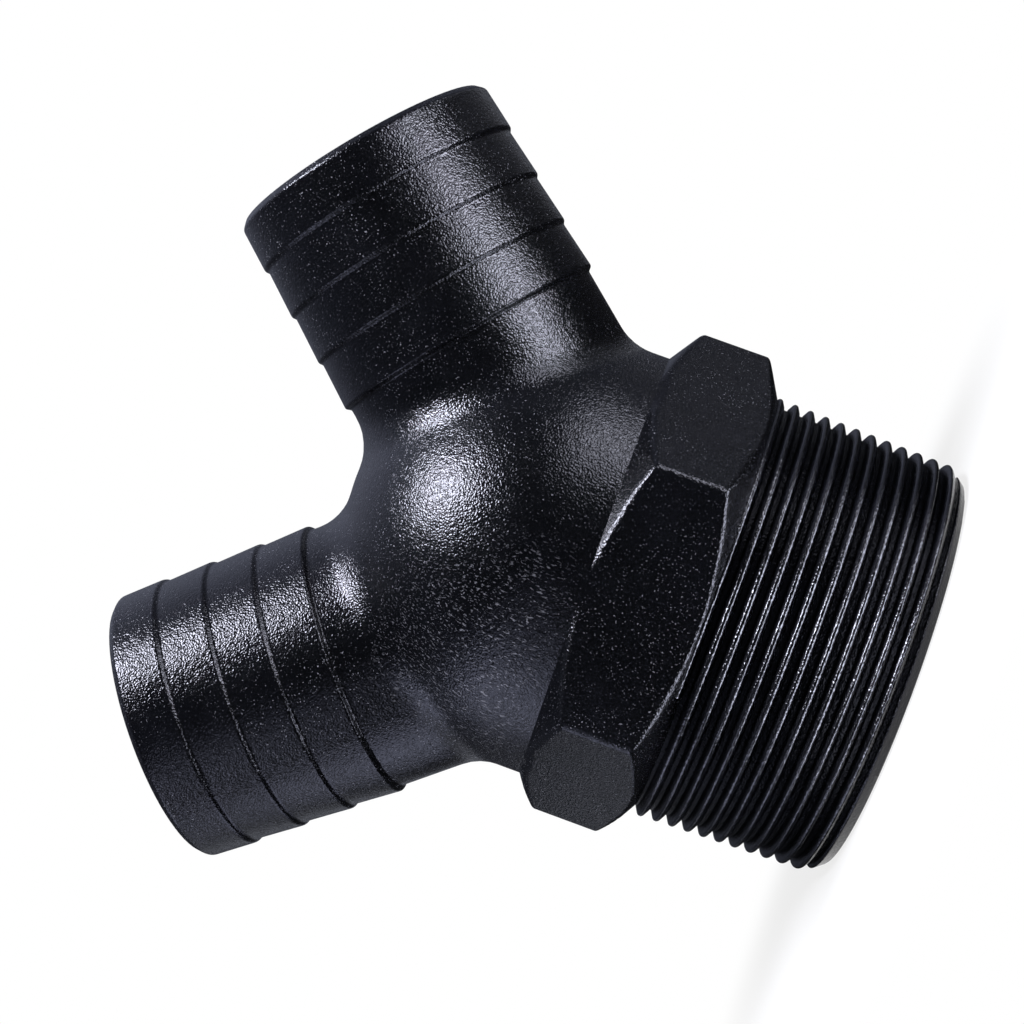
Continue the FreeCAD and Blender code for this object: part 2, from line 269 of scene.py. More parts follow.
def eased_radius(along):
    steps = range(-EASE_STEPS, EASE_STEPS + 1)
    weights = [EASE_STEPS + 1 - abs(k) for k in steps]
    values = [sharp_radius(along + EASE_HALF * k / EASE_STEPS) for k in steps]
    return sum(w * v for w, v in zip(weights, values)) / sum(weights)


print("neck outline of", len(outline_corners), "corners")

# %% [markdown]
# As on the collar, rows crowd where the outline turns, at each tooth and at the
# free end, and lie wide apart on the long slopes. The skin's own rim below the
# first tooth slides back a little first, to make room for the leaning tooth.

# %% Where a neck's rows go
FOOT_SLIDE, RIM_GAP = 0.85 * MM, 0.03 * MM
SLOPE_ROW, SLOPE_STOPS = 1.6 * MM, 0.9 * MM
TOOTH_BEFORE, TOOTH_AFTER, TOOTH_ROW = 0.78 * MM, 0.42 * MM, 0.06 * MM
LAST_SLOPE_STARTS, LAST_SLOPE_STOPS, LAST_SLOPE_ROW = 1.2 * MM, 0.5 * MM, 1.4 * MM
TIP_BEFORE, TIP_ROW = 0.42 * MM, 0.07 * MM

neck_rows = [FIRST_BARB - FOOT_SLIDE + RIM_GAP]
for place in BARB_PLACES:
    if place > FIRST_BARB:
        neck_rows += spread_between(neck_rows[-1] + SLOPE_ROW, place - SLOPE_STOPS, SLOPE_ROW)
    neck_rows += spread_between(place - TOOTH_BEFORE, place + TOOTH_AFTER, TOOTH_ROW)
neck_rows += spread_between(neck_rows[-1] + LAST_SLOPE_STARTS, TIP_START - LAST_SLOPE_STOPS, LAST_SLOPE_ROW)
neck_rows += spread_between(TIP_START - TIP_BEFORE, TIP_END - RIM_GAP, TIP_ROW)
print("barbs of", len(neck_rows), "rows on each neck")

# %% Weave the barbs
ROW_POINTS = 120
OUTSIDE_THE_NECK = 18.5 * MM
OUTSIDE_THE_FACE = 18 * MM


def neck_place(place, axis):
    along = (place - JUNCTION).dot(axis)
    return along, (place - JUNCTION - axis * along).length


def slide_foot(skin, axis):
    for point in skin.verts:
        along, out = neck_place(point.co, axis)
        if near(along, FIRST_BARB) and near(out, NECK_RADIUS):
            point.co -= axis * FOOT_SLIDE


def on_barbs(place, axis):
    along, out = neck_place(place, axis)
    return FIRST_BARB - TOUCH < along < TIP_END - TOUCH and out > OUTSIDE_THE_NECK


def neck_rim(skin, axis, wanted_along, least_out):
    def on_rim(place):
        along, out = neck_place(place, axis)
        return near(along, wanted_along) and out > least_out

    return open_edges(skin, on_rim)


def neck_row(axis, along):
    side = Vector((0.0, 1.0, 0.0))
    other = axis.cross(side)
    out = eased_radius(along)
    middle = JUNCTION + axis * along
    turns = [math.radians(360 // ROW_POINTS * i) for i in range(ROW_POINTS)]
    return [middle + side * (out * math.cos(turn)) + other * (out * math.sin(turn)) for turn in turns]


for axis in NECK_AXES:
    slide_foot(skin, axis)
    bmesh.ops.delete(skin, geom=[v for v in skin.verts if on_barbs(v.co, axis)], context="VERTS")
    foot_rim = neck_rim(skin, axis, FIRST_BARB - FOOT_SLIDE, 0.0)
    face_rim = neck_rim(skin, axis, TIP_END, OUTSIDE_THE_FACE)
    first, last = woven_rows(skin, [neck_row(axis, along) for along in neck_rows])
    sew(skin, first, foot_rim)
    sew(skin, last, face_rim)
print("skin of", len(skin.faces), "faces with the barbs woven in")

# %% [markdown]
# The flat ring that closes the threaded end has one clean round outer edge.
# There the ordinary bevel tool is enough. A count of edges that don't join two
# faces shows whether the skin is closed again after all the sewing.

# %% Roll the edges of the end ring
EDGE_ROLL, EDGE_STEPS = 0.25 * MM, 3


def on_end_ring(place):
    return near(place.z, 0.0) and from_axis(place) > OUTSIDE_THE_BORE


bmesh.ops.recalc_face_normals(skin, faces=skin.faces)
ring_edges = [e for e in skin.edges if on_end_ring(e.verts[0].co) and on_end_ring(e.verts[1].co)]
rolled = len(ring_edges)
bmesh.ops.bevel(
    skin, geom=ring_edges, offset=EDGE_ROLL, offset_type="OFFSET", segments=EDGE_STEPS, profile=0.5,
    affect="EDGES", clamp_overlap=False,
)
print("rolled", rolled, "edges of the end ring")
print("open edges left:", sum(1 for e in skin.edges if not e.is_manifold))

# %% [markdown]
# The finished skin becomes a mesh with smooth shading, and a Weighted Normal
# modifier keeps its large flats flat beside their rounded edges. The plastic
# isn't the same all over: the thread's grooves get painted shade, a lowered
# shine, the rest of the skin gets pale specks that are painted glints, and the
# trunk has a patch at the front, beside the collar, with pale streaks that stand
# for scuffs and for painted glints. An image painted for that would need the
# skin unwrapped. Named values on the mesh's points say it as well, and the
# material reads them later.

# %% Make the skin a mesh and mark its painted groove shade, glint specks and scuffs
# where the painted shade in the thread's grooves goes
GROOVE_LOW, GROOVE_TOP = 0.5 * MM, FRONT_LOW + 0.2 * MM
GROOVE_INNER, GROOVE_OUTER = 27.0 * MM, 28.72 * MM
# the front patch of pale streaks, partly scuffs and partly painted glints
SCUFF_AND_GLINT_MIDDLE, SCUFF_AND_GLINT_REACH = Vector((-0.015, -0.026, 0.048)), 20 * MM


def limited(value):
    return min(1.0, max(0.0, value))


def groove_share(place):
    return float(GROOVE_LOW < place.z < GROOVE_TOP and GROOVE_INNER < from_axis(place) < GROOVE_OUTER)


def scuff_and_glint_share(place):
    if place.z <= REAR_TOP:
        return 0.0
    return limited(1.0 - (place - SCUFF_AND_GLINT_MIDDLE).length / SCUFF_AND_GLINT_REACH) ** 0.5


def mark_points(mesh, name, values):
    mesh.attributes.new(name, "FLOAT", "POINT").data.foreach_set("value", values)


def placed_object(name, mesh):
    made = bpy.data.objects.new(name, mesh)
    bpy.context.scene.collection.objects.link(made)
    return made


for face in skin.faces:
    face.smooth = True
body_mesh = bpy.data.meshes.new("fitting_body")
skin.to_mesh(body_mesh)
skin.free()
body = placed_object("fitting_body", body_mesh)
flatter = body.modifiers.new("flat_faces_stay_flat", "WEIGHTED_NORMAL")
flatter.weight = 50

places = [v.co.copy() for v in body_mesh.vertices]
# painted shade in the grooves, painted glint specks elsewhere, and a patch of pale streaks that are partly
# scuffs and partly painted glints
mark_points(body_mesh, "shaded_groove", [groove_share(place) for place in places])
mark_points(body_mesh, "painted_glint_skin", [1.0 - groove_share(place) for place in places])
mark_points(body_mesh, "scuff_and_glint_patch", [scuff_and_glint_share(place) for place in places])
print("moulding of", len(body_mesh.polygons), "faces")

# %% [markdown]
# ## The pipe thread
# The thread is one ridge wound round a cone that widens by 1 in 16, so that it
# tightens as it is screwed home. The ridge is sunk a little into the solid, so
# no gap shows at its foot. Its flanks stand at 30 degrees, as on the standard
# thread, and its corners are rounded to catch a line of light.

# %% The thread's sizes
PITCH = 2.209 * MM
TAPER = 1 / 32
ROOT_RADIUS = 27.85 * MM
THREAD_START, THREAD_END = 0.13 * MM, 27.3 * MM
RIDGE_HEIGHT, RIDGE_SUNK = 1.25 * MM, 0.25 * MM
CREST_WIDTH, CREST_CORNER = 0.48 * MM, 0.40 * MM
FLANK = math.tan(math.radians(30))

ridge_total = RIDGE_HEIGHT + RIDGE_SUNK
middle_radius = ROOT_RADIUS - RIDGE_SUNK + ridge_total / 2
THREAD_SIZES = {
    "Turns": (THREAD_END - THREAD_START) / PITCH,
    "Start Radius": middle_radius + THREAD_START * TAPER,
    "End Radius": middle_radius + THREAD_END * TAPER,
    "Rise": THREAD_END - THREAD_START,
    "Root Width": CREST_WIDTH + 2 * ridge_total * FLANK,
    "Crest Width": CREST_WIDTH,
    "Ridge Height": ridge_total,
    "Corner": CREST_CORNER,
}
TURN_POINTS, CORNER_POINTS = 120, 4
print("thread of", round(THREAD_SIZES["Turns"], 2), "turns")

# %% [markdown]
# The Screw modifier can wind a ridge, but not on a cone. The thread follows a
# rule, so Geometry Nodes wind it: a Spiral curve carries a small four-sided
# outline with filleted corners, and Curve to Mesh sweeps one along the other.
# Every size is a named input of the tree, so another thread takes other numbers
# and the same nodes.

# %% Geometry Nodes that wind the ridge
def join_all(tree, joins):
    for source, source_name, target, target_name in joins:
        tree.links.new(source.outputs[source_name], target.inputs[target_name])


def tree_inputs(tree):
    identifiers = {}
    for name, value in THREAD_SIZES.items():
        socket = tree.interface.new_socket(name, in_out="INPUT", socket_type="NodeSocketFloat")
        socket.default_value = value
        identifiers[name] = socket.identifier
    for name, kind in (("Points", "NodeSocketInt"), ("Material", "NodeSocketMaterial")):
        identifiers[name] = tree.interface.new_socket(name, in_out="INPUT", socket_type=kind).identifier
    return identifiers


def thread_tree():
    tree = bpy.data.node_groups.new("wind_thread", "GeometryNodeTree")
    tree.interface.new_socket("Geometry", in_out="INPUT", socket_type="NodeSocketGeometry")
    tree.interface.new_socket("Geometry", in_out="OUTPUT", socket_type="NodeSocketGeometry")
    identifiers = tree_inputs(tree)
    nodes = tree.nodes
    given = nodes.new("NodeGroupInput")
    made = nodes.new("NodeGroupOutput")

    helix = nodes.new("GeometryNodeCurveSpiral")
    upright = nodes.new("GeometryNodeSetCurveNormal")
    upright.mode = "Z_UP"
    outline = nodes.new("GeometryNodeCurvePrimitiveQuadrilateral")
    outline.mode = "TRAPEZOID"
    outline.inputs["Offset"].default_value = 0.0
    eased = nodes.new("GeometryNodeFilletCurve")
    eased.mode = "POLY"
    eased.inputs["Count"].default_value = CORNER_POINTS
    turned = nodes.new("GeometryNodeTransform")
    turned.inputs["Rotation"].default_value = (0.0, 0.0, math.radians(90))
    swept = nodes.new("GeometryNodeCurveToMesh")
    swept.inputs["Fill Caps"].default_value = True
    solid = nodes.new("GeometryNodeRealizeInstances")
    painted = nodes.new("GeometryNodeSetMaterial")
    join_all(tree, (
        (given, "Points", helix, "Resolution"),
        (given, "Turns", helix, "Rotations"),
        (given, "Start Radius", helix, "Start Radius"),
        (given, "End Radius", helix, "End Radius"),
        (given, "Rise", helix, "Height"),
        (helix, "Curve", upright, "Curve"),
        (given, "Root Width", outline, "Bottom Width"),
        (given, "Crest Width", outline, "Top Width"),
        (given, "Ridge Height", outline, "Height"),
        (outline, "Curve", eased, "Curve"),
        (given, "Corner", eased, "Radius"),
        (eased, "Curve", turned, "Geometry"),
        (upright, "Curve", swept, "Curve"),
        (turned, "Geometry", swept, "Profile Curve"),
        (swept, "Mesh", solid, "Geometry"),
        (solid, "Geometry", painted, "Geometry"),
        (given, "Material", painted, "Material"),
        (painted, "Geometry", made, "Geometry"),
    ))
    return tree, identifiers


# %% [markdown]
# ## The black plastic
# Such fittings are moulded in a nylon or polypropylene filled with short glass
# fibres and coloured with carbon black. The colour is almost black with a hint
# of blue, and it changes a little from place to place, like a cloud. A picture
# of such a skin could be wrapped round the fitting, but it would show seams.
# So all of it is made from noise on Object coordinates.
#
# A few helpers come first. Each adds one kind of node to a tree and joins it,
# so that a finish reads as a short sum further down. They serve the floor and
# the curtains as well.

# %% Helpers to join shader nodes
def put(tree, value, socket):
    if isinstance(value, (int, float, tuple)):
        socket.default_value = value
    else:
        tree.links.new(value, socket)


def math_node(tree, kind, a, b=0.0):
    made = tree.nodes.new("ShaderNodeMath")
    made.operation = kind
    put(tree, a, made.inputs[0])
    put(tree, b, made.inputs[1])
    return made.outputs["Value"]


def ranged(tree, value, low, high, to_low, to_high, smooth=False):
    made = tree.nodes.new("ShaderNodeMapRange")
    if smooth:
        made.interpolation_type = "SMOOTHSTEP"
    for name, number in (("From Min", low), ("From Max", high), ("To Min", to_low), ("To Max", to_high)):
        made.inputs[name].default_value = number
    tree.links.new(value, made.inputs["Value"])
    return made.outputs["Result"]


def mixed(tree, share, a, b):
    made = tree.nodes.new("ShaderNodeMix")
    made.data_type = "RGBA"
    put(tree, share, made.inputs[0])
    put(tree, a, made.inputs[6])
    put(tree, b, made.inputs[7])
    return made.outputs[2]


def marked(tree, name):
    made = tree.nodes.new("ShaderNodeAttribute")
    made.attribute_name = name
    return made.outputs["Fac"]


def object_place(tree):
    return tree.nodes.new("ShaderNodeTexCoord").outputs["Object"]


# %% [markdown]
# Each pattern in the skin is one row of a table: how many grains to a metre,
# how much detail, how rough, how much it swirls, and how far it is stretched.
# Moulders would call them fine grain and orange peel, pimples where fibre ends
# stand up, swirls where the melt flowed, and a haze in the gloss. A second table
# says which part of a pattern counts, and what its lowest and highest become.

# %% The plastic's patterns
EVEN = (1.0, 1.0, 1.0)
PATTERNS = {
    "cloud": (70.0, 4.0, 0.55, 0.6, EVEN),
    "patch": (55.0, 2.0, 0.60, 0.0, EVEN),
    # this pattern paints pale specks that are painted glints
    "painted_glint_speck": (4500.0, 1.0, 0.60, 0.0, EVEN),
    # this pattern paints pale streaks, partly scuffs and partly painted glints
    "scuff_and_glint": (3900.0, 1.0, 0.60, 0.3, (1.0, 1.0, 0.40)),
    "fine": (4200.0, 0.0, 0.60, 0.0, EVEN),
    "peel": (1500.0, 1.0, 0.55, 0.0, EVEN),
    "pimple": (3900.0, 0.0, 0.50, 0.0, EVEN),
    "swirl": (900.0, 3.0, 0.60, 1.0, (1.0, 1.0, 0.28)),
    "haze": (160.0, 5.0, 0.60, 0.8, EVEN),
}
RANGES = {
    "cloud": (0.35, 0.65, 0.0, 1.0),
    "patch": (0.40, 0.60, 0.25, 1.0),
    "painted_glint_speck": (0.695, 0.745, 0.0, 1.0),
    "scuff_and_glint": (0.61, 0.74, 0.0, 0.75),
    "pimple": (0.56, 0.72, 0.0, 1.0),
    "swirl": (0.35, 0.65, 0.0, 0.03),
    "haze": (0.30, 0.70, 0.145, 0.195),
}


def pattern(tree, name):
    *settings, stretch = PATTERNS[name]
    placed = tree.nodes.new("ShaderNodeMapping")
    placed.inputs["Scale"].default_value = stretch
    tree.links.new(object_place(tree), placed.inputs["Vector"])
    made = tree.nodes.new("ShaderNodeTexNoise")
    for socket, value in zip(("Scale", "Detail", "Roughness", "Distortion"), settings):
        made.inputs[socket].default_value = value
    tree.links.new(placed.outputs["Vector"], made.inputs["Vector"])
    return made.outputs["Fac"]


def ranged_pattern(tree, name):
    return ranged(tree, pattern(tree, name), *RANGES[name])


print("plastic of", len(PATTERNS), "patterns")

# %% [markdown]
# The finish has four parts. The colour is the cloud, broken by pale specks,
# which are painted glints, and by pale streaks on the trunk, which stand for
# scuffs and for painted glints. The gloss is satin, and rougher in the swirls.
# The shine is raised on the thread's crests, a painted highlight, and lowered in
# its grooves, a painted shade where they see little of the room. The relief is a
# bump about a tenth of a millimetre high.

# %% Mix the plastic
DARK, LESS_DARK = (0.0014, 0.0015, 0.0021, 1.0), (0.0030, 0.0032, 0.0046, 1.0)
PAINTED_GLINT_PALE = (0.30, 0.30, 0.34, 1.0)
PLAIN_SHINE, CREST_HIGHLIGHT_SHINE, GROOVE_SHADE_SHINE = 0.5, 0.5, 0.06
IOR, SHINE_TINT = 1.5, (0.93, 0.925, 1.0, 1.0)
RELIEF = 0.11 * MM
RELIEF_SHARES = {"fine": 0.60, "peel": 0.36, "pimple": 0.08, "swirl": 0.28}


# The pale specks are painted glints, and the scuff streaks are partly painted glints.
def plastic_colour(tree):
    base = mixed(tree, ranged_pattern(tree, "cloud"), DARK, LESS_DARK)
    patch = math_node(tree, "MULTIPLY", ranged_pattern(tree, "patch"), marked(tree, "painted_glint_skin"))
    painted_glint_speck = math_node(tree, "MULTIPLY", ranged_pattern(tree, "painted_glint_speck"), patch)
    scuff_and_glint = math_node(tree, "MULTIPLY", ranged_pattern(tree, "scuff_and_glint"), marked(tree, "scuff_and_glint_patch"))
    return mixed(tree, math_node(tree, "MAXIMUM", painted_glint_speck, scuff_and_glint), base, PAINTED_GLINT_PALE)


# The shine paints a highlight on the crests by raising it, and paints shade in the grooves by lowering it.
def plastic_shine(tree):
    painted_crest_highlight = math_node(tree, "MULTIPLY", marked(tree, "painted_crest_highlight"), CREST_HIGHLIGHT_SHINE)
    painted_groove_shade = ranged(tree, marked(tree, "shaded_groove"), 0.0, 1.0, PLAIN_SHINE, GROOVE_SHADE_SHINE)
    return math_node(tree, "ADD", painted_crest_highlight, painted_groove_shade)


def plastic_gloss(tree, swirl):
    return math_node(tree, "ADD", ranged_pattern(tree, "haze"), ranged(tree, swirl, *RANGES["swirl"]))


def plastic_relief(tree, swirl):
    parts = {
        "fine": pattern(tree, "fine"),
        "peel": pattern(tree, "peel"),
        "pimple": ranged_pattern(tree, "pimple"),
        "swirl": swirl,
    }
    height = 0.0
    for name, part in parts.items():
        height = math_node(tree, "ADD", height, math_node(tree, "MULTIPLY", part, RELIEF_SHARES[name]))
    bump = tree.nodes.new("ShaderNodeBump")
    bump.inputs["Strength"].default_value = 1.0
    bump.inputs["Distance"].default_value = RELIEF
    tree.links.new(height, bump.inputs["Height"])
    return bump.outputs["Normal"]


def black_plastic():
    material = bpy.data.materials.new("black_plastic")
    material.use_nodes = True
    tree = material.node_tree
    shader = tree.nodes["Principled BSDF"]
    shader.inputs["IOR"].default_value = IOR
    shader.inputs["Specular IOR Level"].default_value = PLAIN_SHINE
    shader.inputs["Specular Tint"].default_value = SHINE_TINT
    swirl = pattern(tree, "swirl")
    tree.links.new(plastic_colour(tree), shader.inputs["Base Color"])
    tree.links.new(plastic_shine(tree), shader.inputs["Specular IOR Level"])
    tree.links.new(plastic_gloss(tree, swirl), shader.inputs["Roughness"])
    tree.links.new(plastic_relief(tree, swirl), shader.inputs["Normal"])
    return material


PLASTIC = black_plastic()
body.data.materials.clear()
body.data.materials.append(PLASTIC)
for face in body.data.polygons:
    face.material_index = 0
print("plastic of", len(PLASTIC.node_tree.nodes), "nodes")

# %% [markdown]
# ## Winding the thread
# The tree runs on an empty carrier, and its result is kept as a plain mesh.
# The thread starts with a lead-in, a short cone that cuts the first turns down
# so that the thread finds its mate. A boolean cut could make it. Here the
# points past the cone are drawn in to it, which keeps the ridge in one piece.

# %% Wind the thread and cut its lead-in
LEAD_RADIUS, LEAD_SLOPE = 27.3 * MM, 0.79
LEAST_HEIGHT, END_SUNK = 0.04 * MM, 0.2 * MM

carrier = placed_object("thread_carrier", bpy.data.meshes.new("thread_carrier"))
tree, identifiers = thread_tree()
winder = carrier.modifiers.new("wind_thread", "NODES")
winder.node_group = tree
for name, value in {**THREAD_SIZES, "Points": TURN_POINTS, "Material": PLASTIC}.items():
    winder[identifiers[name]] = value
wound = carrier.evaluated_get(bpy.context.evaluated_depsgraph_get())
thread_mesh = bpy.data.meshes.new_from_object(wound)
thread_mesh.name = "pipe_thread"
bpy.data.objects.remove(carrier)


def draw_in(place):
    place.z += THREAD_START
    across = from_axis(place)
    low = max(place.z, LEAST_HEIGHT)
    most = LEAD_RADIUS - END_SUNK if place.z < low else LEAD_RADIUS + LEAD_SLOPE * low
    place.z = low
    if across > most:
        place.x *= most / across
        place.y *= most / across


for point in thread_mesh.vertices:
    draw_in(point.co)
thread = placed_object("pipe_thread", thread_mesh)
reach = [from_axis(point.co) / MM for point in thread_mesh.vertices]
print("ridge reaches from", round(min(reach), 2), "to", round(max(reach), 2), "mm out")

# %% [markdown]
# The crests are marked for a painted highlight, a raised shine, and the lower
# flanks for painted groove shade, a lowered shine, each by how far a point
# stands above the root cone. Each mark fades in over a third of a millimetre.
# The first turn, beside the lead-in, is too low to be a groove.

# %% Mark the crests and the grooves
CREST_FROM, GROOVE_UNDER, MARK_FADE = 0.7 * MM, 0.8 * MM, 0.3 * MM
FLANK_SHADE = 0.8
SHADE_FROM, SHADE_FADE = 1.8 * MM, 0.6 * MM

# painted highlight on the crests, painted shade on the lower flanks
painted_crest_highlight, painted_groove_shade = [], []
for point in thread_mesh.vertices:
    proud = from_axis(point.co) - ROOT_RADIUS - TAPER * point.co.z
    past_lead = limited((point.co.z - SHADE_FROM) / SHADE_FADE)
    painted_crest_highlight.append(limited((proud - CREST_FROM) / MARK_FADE))
    painted_groove_shade.append(FLANK_SHADE * limited((GROOVE_UNDER - proud) / MARK_FADE) * past_lead)
mark_points(thread_mesh, "painted_crest_highlight", painted_crest_highlight)
mark_points(thread_mesh, "shaded_groove", painted_groove_shade)
print("crest points:", sum(1 for share in painted_crest_highlight if share > 0.5), "of", len(painted_crest_highlight))

# %% [markdown]
# ## The studio
# The photograph was taken with the fitting lying towards the right, its necks
# to the left. Here it stands on its thread, so the camera is rolled by the
# same angle instead. The camera's place and lens were fitted to the fitting's
# edges in the photograph, by trying places until the edges fell on each other.

# %% The camera
SENSOR = 36.0
FOCAL_PIXELS, PICTURE_PIXELS = 2243.02, 1024.0
RIGHT = Vector((0.3345, 0.0841, -0.9386)).normalized()
UP = Vector((0.9377, 0.0696, 0.3404))
UP = (UP - RIGHT * UP.dot(RIGHT)).normalized()
BACK = RIGHT.cross(UP)
SHIFT_LEFT, SHIFT_UP, DISTANCE = 12.447 * MM, 7.725 * MM, 307.12 * MM

lens = bpy.data.cameras.new("studio_camera")
lens.sensor_width = SENSOR
lens.lens = FOCAL_PIXELS * SENSOR / PICTURE_PIXELS
lens.clip_start, lens.clip_end = 0.01, 20.0
camera = placed_object("studio_camera", lens)
eye = JUNCTION - RIGHT * SHIFT_LEFT + UP * SHIFT_UP + BACK * DISTANCE
camera.matrix_world = Matrix.Translation(eye) @ Matrix((RIGHT, UP, BACK)).transposed().to_4x4()
bpy.context.scene.camera = camera
print("camera at", [round(v, 4) for v in eye])

# %% [markdown]
# ## Floor and backdrop
# The set is plain: a white floor under a white world. A floor lit only by lamps
# would come out grey in places, so where the camera sees it, it also glows
# white by itself. Round the fitting's foot it glows less, and keeps the soft
# shadow that the fitting throws. The world is bright for the camera and dimmer
# as a light, which fills the shadows evenly.

# %% Floor and backdrop
WHITE = (1.0, 1.0, 1.0, 1.0)
FLOOR_HALF, FLOOR_COLOUR = 6.0, (0.86, 0.86, 0.86, 1.0)
FADE_FROM, FADE_TO = 40 * MM, 85 * MM
GLOW_NEAR, GLOW_FAR = 0.80, 1.0
WORLD_LIGHT, WORLD_SEEN = 0.35, 1.0


def seen_directly(tree):
    path = tree.nodes.new("ShaderNodeLightPath")
    total = path.outputs["Is Camera Ray"]
    for name in ("Is Glossy Ray", "Is Transmission Ray"):
        total = math_node(tree, "MAXIMUM", total, path.outputs[name])
    return total


def bare_material(name):
    material = bpy.data.materials.new(name)
    material.use_nodes = True
    material.node_tree.nodes.remove(material.node_tree.nodes["Principled BSDF"])
    return material, material.node_tree


def distance_out(tree):
    made = tree.nodes.new("ShaderNodeVectorMath")
    made.operation = "LENGTH"
    tree.links.new(object_place(tree), made.inputs[0])
    return made.outputs["Value"]


def pale_floor():
    material, tree = bare_material("pale_floor")
    lit = tree.nodes.new("ShaderNodeBsdfDiffuse")
    lit.inputs["Color"].default_value = FLOOR_COLOUR
    glow = tree.nodes.new("ShaderNodeEmission")
    glow.inputs["Color"].default_value = WHITE
    fade = ranged(tree, distance_out(tree), FADE_FROM, FADE_TO, GLOW_NEAR, GLOW_FAR, smooth=True)
    mix = tree.nodes.new("ShaderNodeMixShader")
    tree.links.new(math_node(tree, "MULTIPLY", seen_directly(tree), fade), mix.inputs[0])
    tree.links.new(lit.outputs["BSDF"], mix.inputs[1])
    tree.links.new(glow.outputs["Emission"], mix.inputs[2])
    tree.links.new(mix.outputs["Shader"], tree.nodes["Material Output"].inputs["Surface"])
    return material


floor_corners = [(x * FLOOR_HALF, y * FLOOR_HALF, 0.0) for x, y in ((-1, -1), (1, -1), (1, 1), (-1, 1))]
floor_mesh = bpy.data.meshes.new("floor")
floor_mesh.from_pydata(floor_corners, [], [(0, 1, 2, 3)])
floor_mesh.materials.append(pale_floor())
floor = placed_object("floor", floor_mesh)

world = bpy.data.worlds.new("studio")
world.use_nodes = True
bpy.context.scene.world = world
sky = world.node_tree.nodes["Background"]
sky.inputs["Color"].default_value = WHITE
level = ranged(world.node_tree, seen_directly(world.node_tree), 0.0, 1.0, WORLD_LIGHT, WORLD_SEEN)
world.node_tree.links.new(level, sky.inputs["Strength"])
print("floor", 2 * FLOOR_HALF, "m wide")

# %% [markdown]
# ## Lamps
# Black plastic shows its shape through what it mirrors. A square soft lamp
# overhead lights everything and makes the long bright streaks. The five others
# are there for their reflections alone, like cards that a photographer stands
# round a black subject, and light no colour: two pads lie on the table, a low
# panel stands on the right and two cool reflectors stand on the left. Each is
# given its brightness, and its power follows from its size.

# %% Lamps
DAYLIGHT, COOL = (0.88, 0.90, 1.0), (0.78, 0.83, 1.08)
MIDDLE = (0.0, 0.0, 0.06)
PAD_HEIGHT = 4 * MM
lamps = []


def soft_lamp(name, place, aim, size, brightness, colour=COOL, spin=0.0, spread=180.0):
    width, height = size
    data = bpy.data.lights.new(name, "AREA")
    data.shape = "RECTANGLE"
    data.size = width
    data.size_y = height
    data.energy = brightness * math.pi * width * height
    data.spread = math.radians(spread)
    data.color = colour
    lamp = placed_object(name, data)
    lamp.location = place
    lamp.rotation_mode = "QUATERNION"
    aimed = (Vector(aim) - Vector(place)).to_track_quat("-Z", "Y")
    lamp.rotation_quaternion = aimed @ Quaternion((0.0, 0.0, 1.0), math.radians(spin))
    lamp.visible_camera = False
    lamps.append(lamp)
    return lamp


def reflected_lamp(*given, **more):
    soft_lamp(*given, **more).visible_diffuse = False


def table_pad(name, x, y, size, brightness, **more):
    reflected_lamp(name, (x, y, PAD_HEIGHT), (x, y, 1.0), size, brightness, **more)


soft_lamp("overhead_lamp", (0.11, -0.20, 0.60), MIDDLE, (0.21, 0.21), 39.0, DAYLIGHT)
table_pad("light_pad", 0.168, -0.140, (0.24, 0.056), 18.0, colour=DAYLIGHT, spin=52.0, spread=160.0)
reflected_lamp("low_panel", (0.43, -0.17, 0.06), MIDDLE, (0.22, 0.11), 7.0, DAYLIGHT)
reflected_lamp("left_reflector", (-0.55, -0.13, 0.12), MIDDLE, (0.44, 0.20), 1.75)
table_pad("left_pad", -0.16, -0.02, (0.14, 0.10), 1.5)
reflected_lamp("front_left_reflector", (-0.38, -0.44, 0.05), MIDDLE, (0.36, 0.13), 0.85)
print(len(lamps), "lamps set")

# %% [markdown]
# ## Dark curtain
# In a white room black plastic would look grey all over. So a big dark sphere
# hangs round the set, seen in reflections only. It isn't black everywhere: it
# brightens high up at the back and a little at the left and right, which draws
# soft gradients along the trunk and the necks.

# %% Hang the dark curtain
CURTAIN_RADIUS = 2.0
PANELS_ROUND, PANELS_HIGH = 48, 24
CURTAIN_COLOUR = (0.82, 0.88, 1.15, 1.0)
BRIGHT_SIDE = (0.20, 0.50, 0.84)
BRIGHT_FROM, BRIGHT_CURVE = -0.4 * CURTAIN_RADIUS, 6.0
DARK_LEVEL, BRIGHT_LEVEL = 0.02, 0.55
SIDES_FROM, SIDES_TO, SIDES_LEVEL = 0.65 * CURTAIN_RADIUS, 0.95 * CURTAIN_RADIUS, 0.08


def parts_of_place(tree):
    parts = tree.nodes.new("ShaderNodeSeparateXYZ")
    tree.links.new(object_place(tree), parts.inputs["Vector"])
    return parts.outputs


def glowing_cloth(name, colour, strength):
    material, tree = bare_material(name)
    glow = tree.nodes.new("ShaderNodeEmission")
    glow.inputs["Color"].default_value = colour
    tree.links.new(strength(tree), glow.inputs["Strength"])
    tree.links.new(glow.outputs["Emission"], tree.nodes["Material Output"].inputs["Surface"])
    return material


